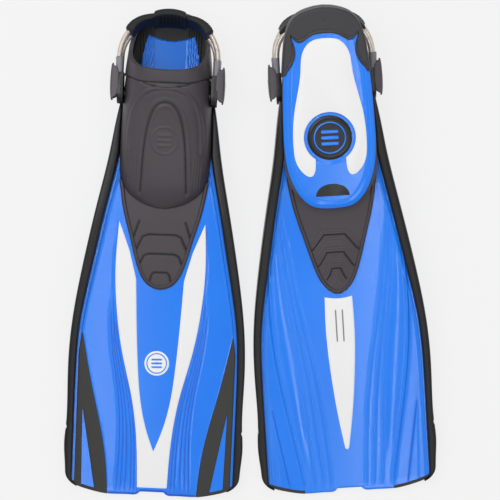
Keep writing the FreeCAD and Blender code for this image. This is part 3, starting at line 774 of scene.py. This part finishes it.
def rim_line(v):
    """Height of the opening's edge, seen from the side."""
    return np.interp(v, [RIM, RIM + 30, RIM + 48, HEEL + 20],
                     [POCKET_H + 2, 0.56 * POCKET_H, 0.31 * POCKET_H, 0.27 * POCKET_H])


HEIGHT = function_of([(0.24 * 84, TOE - 2), (0.40 * 84, TOE + 22), (0.58 * 84, TOE + 63),
                      (0.83 * 84, TOE + 127),
                      (84, RIM), (1.06 * 84, HEEL + 2)])


def emblem(x, y, cx, cy, r):
    """Plain generic badge: a ring round three level bars."""
    d = np.hypot(x - cx, y - cy)
    h = ridge(d - r, 0.9)
    for k in (-1, 0, 1):
        inside = step(r * 0.55 - np.abs(x - cx), 0.5) * step(r * 0.75 - d, 0.6)
        h = np.maximum(h, ridge(y - cy - k * r * 0.38, 0.12 * r) * inside)
    return h


def pocket_relief(u, v):
    a = np.abs(u)
    h = np.zeros(u.shape)
    collar = RIM - 12.0 + 0.012 * np.maximum(a - 20, 0) ** 2
    h += 0.9 * step(v - collar, 0.5)
    lens = RIM - 13.5 - 5.5 * (1 - (np.minimum(a, 31) / 31) ** 2)
    h -= 1.1 * ridge(v - collar + 1.2, 1.0)
    h -= 0.9 * ridge(v - lens, 0.9) * step(31 - a, 1.5)
    arch = near_toe([(46, 70), (45, 95), (40, 120), (28, 137), (14, 143), (0, 145)])
    line = smooth_line(arch, 60)
    d = to_chain(a, v, [tuple(p) for p in line])
    h += 0.75 * ridge(d, 2.2) - 0.3 * ridge(d - 3.5, 1.5)
    inner = near_toe([(29, 20), (27, 60), (23, 95), (18, 112), (9, 124), (0, 127)])
    line = smooth_line(inner, 60)
    d = to_chain(a, v, [tuple(p) for p in line])
    h -= 0.95 * ridge(d, 1.1)
    h += 0.5 * ridge(d - 4.0, 2.2)
    h += 0.55 * emblem(u, v, 0.0, TOE + 82.0, 16.0)
    for k in range(4):
        flute = ridge(a - 36 - 3.2 * k - 0.06 * (v - TOE - 40), 0.8)
        h += 0.35 * flute * step(v - TOE - 22, 4) * step(TOE + 62 - v, 8)
    return 1.3 * h


def pocket_surface(inset, stations, columns):
    """Points of the pocket's skin: one grid for each half, from the base up to the rim or middle."""
    front = TOE + 1.6 + inset
    back = HEEL - inset
    grid = []
    for t in stations:
        v = front + (back - front) * t
        vo = min(max(v, TOE + 1.61), HEEL - 0.01)
        half = float(pocket_half(TOE + 1.6 + (HEEL - TOE - 1.6) * t))
        half = max(half - inset * min(1.0, half / 12.0), 0.0) if t < 1 - 1e-9 else 0.0
        tau = min(1.0, (v - front) / 26.0)
        dome = math.sqrt(max(1 - (1 - tau) ** 2, 0.0)) * 0.3 + 0.7 if inset == 0 else 1.0
        height = (float(HEIGHT(vo)) - inset) * dome
        if v > RIM:
            cut = float(rim_line(v)) - PLATE
            s = min(1.0, max(cut / height, 0.02))
            phi_top = math.asin(min(1.0, s ** 1.5))
        else:
            phi_top = math.pi / 2
        w = np.linspace(0, 1, columns)
        phi = phi_top * w
        x = half * np.maximum(np.cos(phi), 0) ** (2 / 3)
        z = PLATE + height * np.maximum(np.sin(phi), 0) ** (2 / 3)
        grid.append(np.stack([x, np.full(columns, v), z], -1))
    return np.array(grid)


def grid_normals(p):
    du = np.gradient(p, axis=0)
    dv = np.gradient(p, axis=1)
    n = np.cross(dv, du)
    length = np.linalg.norm(n, axis=-1, keepdims=True)
    return n / np.maximum(length, 1e-9)


def make_pocket(side):
    rim_t = (RIM - TOE - 1.6) / (HEEL - TOE - 1.6)
    a = (1 - np.cos(np.linspace(0, math.pi / 2, 60))) * 0.16
    c = np.linspace(0.16, rim_t, 190)[1:]
    d = rim_t + (1 - rim_t) * np.linspace(0, 1, 70)[1:] ** 1.6 * 0.78
    e = 1 - (1 - d[-1]) * np.cos(np.linspace(0, math.pi / 2, 40)[1:])
    stations = np.concatenate([a, c, d, e])
    columns = 96
    outer = pocket_surface(0.0, stations, columns)
    inner = pocket_surface(WALL, stations, columns)
    n = grid_normals(outer)
    n = n * np.sign(n[..., 2:3] + n[..., 0:1] * 0.3 + 1e-9)
    h = pocket_relief(outer[..., 0], outer[..., 1])
    upper = step(outer[..., 2] - 14.0, 2.0)
    moved = outer + n * (h * upper)[..., None]
    moved[..., 0] = np.where(outer[..., 0] < 1e-4, outer[..., 0], np.maximum(moved[..., 0], 0))
    at_mid = np.isclose(outer[..., 0], 0, atol=1e-3)
    moved[..., 0] = np.where(at_mid, 0.0, moved[..., 0])
    rows = len(stations)
    shape = Shape()
    n_pts = rows * columns
    verts = np.concatenate([moved.reshape(-1, 3), inner.reshape(-1, 3)])
    faces = grid_faces(rows, columns) + grid_faces(rows, columns, n_pts, True)
    open_from = int(np.argmax(stations > rim_t + 1e-9)) - 1
    for i in range(open_from, rows - 1):
        p = i * columns + columns - 1
        q = p + columns
        faces.append((p, q, n_pts + q, n_pts + p))
    for i in range(rows - 1):
        p = i * columns
        q = p + columns
        faces.append((q, p, n_pts + p, n_pts + q))
    shape.add(verts, faces)
    cells = (rows - 1) * (columns - 1)
    # Cells in the deeper grooves of the pocket get the darker rubber: painted shade in the recesses.
    shape.marks[:cells] = [2 if c else 0 for c in (h * upper < -0.55)[:-1, :-1].reshape(-1)]
    shape.marks[cells:2 * cells] = [1] * cells
    other = shape.mirror()
    shape.join(other)
    build(side + "_pocket_skin", shape, side, side + "_fin", [side + "_foot_pocket"],
          [POCKET_RUBBER, LINING_AND_GROOVE_SHADE, GROOVE_SHADE_RUBBER], 55, merge=0.02)


# ------------------------------------------------------------------ sole

def make_plate(side):
    """Sole plate: the blue margin outside, the ribbed insole inside the pocket."""
    w = POCKET
    toe = smooth_line([(0.0, TOE), (0.45 * w, TOE + 4.0), (0.78 * w, TOE + 25.0),
                       (0.985 * w, TOE + 83.0), (0.985 * w, TOE + 100.0)], 300)
    rows, cols = 261, 121
    t = 0.5 - 0.5 * np.cos(np.linspace(0, math.pi, rows))
    v = TOE + 0.02 + (HEEL - 2.6 - TOE) * t
    tuck = 0.8 + 1.8 * step(v - TOE - 182, 3)
    half = np.where(v < TOE + 90, np.interp(v, toe[:, 1], toe[:, 0]), pocket_half(v) - tuck)
    half = np.maximum(half, 0.02)
    x = half[:, None] * np.sin(np.linspace(-math.pi / 2, math.pi / 2, cols))[None, :]
    y = np.repeat(v[:, None], cols, 1)
    chain = list(zip(half[::6], v[::6])) + [(0.0, v[-1])]
    e = to_chain(np.abs(x), y, [(float(p), float(q)) for p, q in chain])
    low = 1.9 * np.exp(-e / 1.6) - 0.75 * ridge(e - 5.5, 1.5) - 0.3 * step(9.0 - e, 0.8)
    low += 0.35 * ridge(e - 9.5, 1.2)
    r = np.hypot(x, y - BADGE_Y)
    low += 0.9 * step(32.0 - r, 0.4)
    top = np.full(x.shape, PLATE + 0.05)
    for k in range(6):
        line = 22.0 + 3.1 * k
        rib = ridge(np.abs(x) - line, 0.75)
        top += 0.9 * rib * step(y - 470, 4) * step(HEEL - 14 - y, 3) * step(e - 4, 1)
    lining = (e < 13.0) | (y > HEEL - 34.0 + 0.008 * x ** 2)
    top += 1.2 * lining
    build(side + "_plate_skin", slab(x, y, top, low, lining), side, side + "_fin",
          [side + "_sole_plate"], [BLUE, LINING_AND_GROOVE_SHADE], 50)


def make_cup(side):
    """Heel cup: rubber ears and rim round the heel end of the sole."""
    w = POCKET
    outer = _side[_side[:, 1] > TOE + 168.0]
    outer = outer[np.argsort(-outer[:, 0])] + [0.8, 0.0]
    outer = outer[np.argsort(np.arctan2(outer[:, 1] - (HEEL - 60), outer[:, 0]))]
    outer[-1] = [0.0, HEEL + 0.9]
    ear = smooth_line([(0.87 * w, TOE + 168.0), (0.635 * w, TOE + 193.0), (0.70 * w, HEEL - 35.0)], 80)
    lip = smooth_line([(0.70 * w, HEEL - 35.0), (0.55 * w, HEEL - 42.0), (0.3 * w, HEEL - 35.0),
                       (0.0, HEEL - 32.0)], 80)
    inner = np.concatenate([ear, lip[1:]])

    def even(line, count):
        d = np.concatenate([[0], np.cumsum(np.hypot(*np.diff(line, axis=0).T))])
        q = np.linspace(0, d[-1], count)
        return np.stack([np.interp(q, d, line[:, 0]), np.interp(q, d, line[:, 1])], -1)

    rows, cols = 181, 41
    a = even(inner, rows)
    o = even(outer, rows)
    sh = (0.5 - 0.5 * np.cos(np.linspace(0, math.pi, cols)))[None, :]
    x = a[:, :1] + (o[:, :1] - a[:, :1]) * sh
    y = a[:, 1:] + (o[:, 1:] - a[:, 1:]) * sh
    length = np.hypot(o[:, 0] - a[:, 0], o[:, 1] - a[:, 1])[:, None]
    d_in = sh * length
    d_out = (1 - sh) * length
    low = -1.45 + 2.3 * np.exp(-d_in / 0.7)
    low += 4.6 * (1 - np.sqrt(1 - np.clip(1 - d_out / 4.0, 0, 0.999) ** 2))
    low += 0.55 * ridge(d_in - 4.2, 0.7) * step(d_out - 3.5, 0.5)
    low -= 0.5 * ridge(d_in - 1.9, 1.1) * step(d_out - 3.5, 0.5)
    half = slab(x, y, np.maximum(3.9, low + 0.3), low)
    build(side + "_cup_skin", half.join(half.mirror()), side, side + "_fin", [side + "_heel_cup"],
          [CUP_RUBBER], 55)


def make_badge(side):
    """Round badge in the sole: a dished disc with a generic ring and three level bars."""
    rings, n = 70, 161
    r = np.linspace(0.02, 27.5, rings)[:, None]
    a = np.linspace(0, 2 * math.pi, n)[None, :]
    x = r * np.cos(a)
    y = BADGE_Y + r * np.sin(a)
    bars = emblem(x, y, 0.0, BADGE_Y, 19.0)
    low = -1.15 + 0.9 * np.exp(-(27.5 - r) / 0.7) - 0.55 * ridge(r - 24.5, 1.1) - 0.6 * bars
    shape = slab(x, y, np.full(x.shape, 1.1), low, None, bars > 0.5, True)
    build(side + "_badge_skin", shape, side, side + "_fin", [side + "_sole_badge"],
          [BADGE, BLUE], 50)


def softened(name, body, mat, width):
    """Copy of a CAD node's mesh with small rounded edges."""
    mesh = frame["nodes"][name].data.copy()
    mesh.name = name + "_soft"
    bm = bmesh.new()
    bm.from_mesh(mesh)
    bmesh.ops.remove_doubles(bm, verts=bm.verts, dist=1e-6)
    bmesh.ops.dissolve_limit(bm, angle_limit=math.radians(1.0), verts=bm.verts, edges=bm.edges)
    edges = [e for e in bm.edges if len(e.link_faces) == 2 and e.calc_face_angle() > math.radians(40)]
    bmesh.ops.bevel(bm, geom=edges, offset=width / 1000, segments=3, profile=0.5, affect="EDGES",
                    clamp_overlap=True)
    bm.to_mesh(mesh)
    bm.free()
    for p in mesh.polygons:
        p.use_smooth = True
    mesh.set_sharp_from_angle(angle=math.radians(35))
    mesh.materials.clear()
    mesh.materials.append(mat)
    obj = bpy.data.objects.new(name + "_soft", mesh)
    bpy.context.scene.collection.objects.link(obj)
    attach(obj, body)
    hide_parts(name)
    return obj


# ------------------------------------------------------------------ strap hardware

def spring_line(hand, count):
    """Centre line of one coil spring and its sideways direction; hand is -1 for the lower coil."""
    x0 = SPRING_X + hand * COIL_STEP
    z = POST_Z + hand * COIL_OFFSET
    end = (END_X + 0.5 + 1.6 * hand, END_Y + 1.5 + 1.6 * hand)
    across = x0 - end[0]
    reach = end[1] - CAP_END
    radius = (across ** 2 + reach ** 2) / (2 * across)
    turn = math.asin(reach / radius) + 2.5 / radius
    straight = 5.0
    length = straight + radius * turn
    q = np.linspace(0, length, count)
    t = np.clip(q - straight, 0, None) / radius
    x = x0 + radius * (np.cos(t) - 1)
    y = np.where(q < straight, CAP_END - straight + q, CAP_END + radius * np.sin(t))
    line = np.stack([x, y, np.full(count, z)], -1)
    side = np.stack([np.cos(t), np.sin(t), np.zeros(count)], -1)
    ahead = np.stack([-np.sin(t), np.cos(t), np.zeros(count)], -1)
    return line, side, ahead, length


def coil(hand):
    pitch, radius, wire, around = 1.36, 2.95, 0.66, 8
    length = spring_line(hand, 2)[3]
    count = int(length / pitch * 16)
    line, side, ahead, length = spring_line(hand, count)
    phase = np.linspace(0, 2 * math.pi * length / pitch, count)[:, None]
    out = np.cos(phase) * side + np.sin(phase) * np.array([[0, 0, 1.0]])
    centre = line + radius * out
    ring = np.linspace(0, 2 * math.pi, around, endpoint=False)
    rings = centre[:, None, :] + wire * (np.cos(ring)[None, :, None] * out[:, None, :]
                                         + np.sin(ring)[None, :, None] * ahead[:, None, :])
    shape = loft(rings)
    # A dark tube inside each coil, where there is only empty space: painted shade that hides the floor
    # through the gaps.
    line, side, ahead, length = spring_line(hand, 40)
    up = np.array([[0, 0, 1.0]])
    ring = np.linspace(0, 2 * math.pi, 16, endpoint=False)
    shade_core = line[:, None, :] + 2.35 * (np.cos(ring)[None, :, None] * side[:, None, :]
                                      + np.sin(ring)[None, :, None] * up[None, :, :])
    inner = loft(shade_core)
    inner.marks = [1] * len(inner.faces)
    return shape.join(inner)


def make_springs(side):
    for hand, sign in (("r", 1), ("l", -1)):
        shape = coil(-1).join(coil(1))
        if sign < 0:
            shape = shape.mirror()
        shape.mapped(raised)
        obj = build(side + "_coils_" + hand, shape, side, None, [side + "_strap_springs_" + hand],
                    [STEEL, BLACK], 80, merge=0)
        ends = raised([(sign * SPRING_X, CAP_END + 1.0, POST_Z), (sign * END_X, END_Y - 1.0, POST_Z)])
        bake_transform(obj)


def rounded(half_a, half_b, power, count):
    """Points round a rounded rectangle in two axes."""
    t = np.linspace(0, 2 * math.pi, count, endpoint=False)
    k = 2.0 / power
    return (half_a * np.sign(np.cos(t)) * np.abs(np.cos(t)) ** k,
            half_b * np.sign(np.sin(t)) * np.abs(np.sin(t)) ** k)


def make_strap_end(side):
    """Rubber socket that leans back from the coil ends to the heel pad."""
    line = smooth_line([(19.0, PAD_Y - 0.5), (28.0, PAD_Y - 2.2), (36.8, PAD_Y - 5.6),
                        (44.5, PAD_Y - 12.3), (END_X + 0.4, END_Y + 0.6)], 60)
    ahead = np.gradient(line, axis=0)
    ahead /= np.linalg.norm(ahead, axis=1)[:, None]
    n = 48
    rings = []
    for k, (p, d) in enumerate(zip(line, ahead)):
        t = k / 59.0
        thick = 3.3 + 2.3 * t ** 1.5
        high = 12.5 - 2.2 * t
        if t > 0.93:
            shrink = math.sqrt(max(1 - ((t - 0.93) / 0.07) ** 2 * 0.35, 0))
            thick *= shrink
            high *= shrink
        a, c = rounded(thick, high, 4.5, n)
        lip = 0.9 * ridge(c - high + 2.2, 1.6) + 0.5 * ridge(c + high - 2.2, 1.6)
        a = a + np.sign(a) * lip * np.minimum(np.abs(a) / thick, 1)
        band_mark = 0.5 * sum(ridge(t - at, 0.02) for at in (0.86, 0.78, 0.70))
        a = a + np.sign(a) * band_mark
        side_way = np.array([d[1], -d[0]])
        ring = np.stack([p[0] + a * side_way[0], p[1] + a * side_way[1], POST_Z + c], -1)
        rings.append(ring)
    shape = loft(rings).mapped(leaned)
    for hand, sh in (("r", shape), ("l", shape.mirror())):
        build(side + "_strap_socket_" + hand, sh, side, side + "_strap", [side + "_strap_end_" + hand],
              [STRAP_BLACK], 50, merge=0)


def make_heel_pad(side):
    """Curved heel pad with upright ribs on its inner face and a thick rim."""
    cols, n = 121, 72
    u = np.linspace(-20.5, 20.5, cols)
    rings = []
    for x in u:
        y0 = PAD_Y + 1.0 - 3.2 * (x / 19.5) ** 2 + 0.2
        end = math.sqrt(max(1 - max(abs(x) - 17.5, 0) ** 2 / 9.8, 0.02))
        high = 19.0 * (0.82 + 0.18 * math.sqrt(max(1 - (x / 21.5) ** 2, 0))) * (0.7 + 0.3 * end)
        a, c = rounded(4.2 * (0.5 + 0.5 * end), high, 5.0, n)
        rim = 0.8 * ridge(np.abs(c) - high + 2.4, 1.7)
        a = a + np.sign(a) * rim
        rib = sum(float(ridge(x - k, 1.25)) for k in (-13.5, -9.0, -4.5, 0.0, 4.5, 9.0, 13.5))
        a = np.where(a < -1.0, a - 2.3 * min(rib, 1.0) * step(high - 4.5 - np.abs(c), 0.8), a)
        rings.append(np.stack([np.full(n, x), y0 + a, POST_Z + 2.0 + c], -1))
    shape = loft(rings).mapped(leaned)
    build(side + "_pad_skin", shape, side, side + "_strap", [side + "_heel_pad"],
          [STRAP_BLACK], 55, merge=0)


def make_buckle(side):
    """Buckle with a faceted grey hood, a dark arm and a ribbed thumb pad."""
    n = 40
    hood = [(8.0, 59.4, 62.4, 4.5), (13.0, 57.4, 63.2, 7.5), (22.0, 55.5, 64.4, 9.4),
            (30.0, 55.3, 64.8, 9.8), (38.0, 55.3, 65.2, 9.8), (43.5, 55.5, 65.6, 9.6),
            (45.0, 56.0, 65.0, 9.0)]
    rings = []
    for past_post, x0, x1, half in hood:
        a, c = rounded((x1 - x0) / 2, half, 3.2, n)
        a = np.where((a > 0) & (c > 0), a * (1 - 0.10 * c / half), a)
        rings.append(np.stack([(x0 + x1) / 2 + a, np.full(n, POST_Y + past_post), POST_Z + c], -1))
    hood_shape = loft(rings).mapped(raised)
    pad_rings = []
    for k in range(64):
        t = k / 63.0
        y = POST_Y - 9.0 + 46.0 * t
        bulge = max(math.sin(math.pi * min(max(t, 0.0), 1.0)), 0.0)
        half = 10.0 * max(1 - abs(2 * t - 1.0) ** 3.2, 0.03) ** 0.5
        out = 3.6 * (0.5 + 0.5 * bulge ** 0.5)
        a, c = rounded(out / 2, max(half, 1.2), 2.8, n)
        wave = 0.5 + 0.5 * math.cos(2 * math.pi * (y - POST_Y) / 3.4)
        grip = 0.55 * wave if 0.12 < t < 0.6 else 0.0
        a = np.where(a > 0, a + grip * np.clip(1 - np.abs(c) / 8.0, 0, 1), a)
        pad_rings.append(np.stack([67.6 + out / 2 + a, np.full(n, y), POST_Z + c], -1))
    pad_shape = loft(pad_rings)
    for way in (-1, 1):
        lip_rings = []
        for t in np.linspace(0.0, 1.0, 30):
            wide = math.sqrt(max(1 - (2 * t - 1.0) ** 4, 0.02))
            a, c = rounded(4.6 * wide, 0.75, 2.6, 20)
            lip_rings.append(np.stack([69.4 - 4.6 * wide + a, np.full(20, POST_Y - 6.5 + 41.0 * t),
                                       POST_Z + way * (LIP_Z - 0.10 * a) + c], -1))
        pad_shape.join(loft(lip_rings))
    pad_shape.mapped(raised)
    for hand, sign in (("r", 1), ("l", -1)):
        h = hood_shape if sign > 0 else hood_shape.mirror()
        q = pad_shape if sign > 0 else pad_shape.mirror()
        build(side + "_buckle_hood_" + hand, h, side, side + "_buckles", [side + "_buckle_cap_" + hand],
              [GREY], 24, merge=0)
        build(side + "_thumb_pad_" + hand, q, side, side + "_button_" + hand,
              [side + "_release_button_" + hand], [BUTTON], 50, merge=0)
        softened(side + "_buckle_body_" + hand, side + "_buckles", BLACK, 1.2)
        softened(side + "_buckle_post_" + hand, side + "_fin", BLACK, 0.6)


# ------------------------------------------------------------------ stage

def add_to_scene(name, data):
    obj = bpy.data.objects.new(name, data)
    bpy.context.scene.collection.objects.link(obj)
    return obj


def area_light(name, shape, size, power):
    light = bpy.data.lights.new(name, "AREA")
    light.shape = shape
    light.size = size
    light.energy = power
    return add_to_scene(name, light)


def make_stage():
    """Pale floor, soft lights and a camera that looks straight down."""
    world = bpy.data.worlds.new("studio")
    bpy.context.scene.world = world
    world.use_nodes = True
    world.node_tree.nodes["Background"].inputs["Color"].default_value = (1, 1, 1, 1)
    world.node_tree.nodes["Background"].inputs["Strength"].default_value = WORLD_LIGHT
    mesh = bpy.data.meshes.new("floor")
    s = FLOOR_HALF
    mesh.from_pydata([(-s, -s, 0), (s, -s, 0), (s, s, 0), (-s, s, 0)], [], [(0, 1, 2, 3)])
    floor = add_to_scene("floor", mesh)
    mat, node = principled("floor_paper", (FLOOR_GREY,) * 3, 0.9)
    node.inputs["Specular IOR Level"].default_value = 0.0
    node.inputs["Emission Color"].default_value = (1, 1, 1, 1)
    node.inputs["Emission Strength"].default_value = FLOOR_GLOW
    mesh.materials.append(mat)
    for name, pos, size, power in (("key", (-0.9, 0.5, 1.7), 1.3, 10.0),
                                   ("fill", (1.3, -0.5, 1.6), 1.6, 2.0),
                                   ("top", (0.0, 1.6, 1.6), 1.2, 5.0)):
        obj = area_light(name, "DISK", size, power)
        obj.location = pos
        obj.rotation_euler = (-Vector(pos)).to_track_quat("-Z", "Y").to_euler()
    for name, x, power in (("strip_left", -0.36, 4.0), ("strip_right", 0.33, 6.0)):
        obj = area_light(name, "RECTANGLE", STRIP_WIDTH, power)
        obj.data.size_y = STRIP_LENGTH
        obj.location = (x, 0.0, STRIP_HEIGHT)
    cam = bpy.data.cameras.new("camera")
    cam.sensor_width = SENSOR
    cam.lens = SENSOR * CAMERA_HEIGHT / VIEW_WIDTH
    obj = add_to_scene("camera", cam)
    obj.location = (-0.0006, 0.0028, CAMERA_HEIGHT)
    obj.rotation_euler = (0, 0, 0)
    bpy.context.scene.camera = obj
    bpy.context.scene.view_settings.view_transform = "Standard"


make_stage()
for side in ("left", "right"):
    make_blade(side)
    make_stripe(side)
    make_keel(side)
    make_channel(side)
    make_rail(side)
    make_panel(side)
    make_pocket(side)
    make_plate(side)
    make_cup(side)
    make_badge(side)
    softened(side + "_sole_pad", side + "_fin", WHITE, 0.7)
    softened(side + "_toe_grip", side + "_fin", BLACK, 0.5)
    make_springs(side)
    make_strap_end(side)
    make_heel_pad(side)
    make_buckle(side)
for name, node in frame["nodes"].items():
    if "button_spring" in name:
        node.data.materials.clear()
        node.data.materials.append(STEEL)
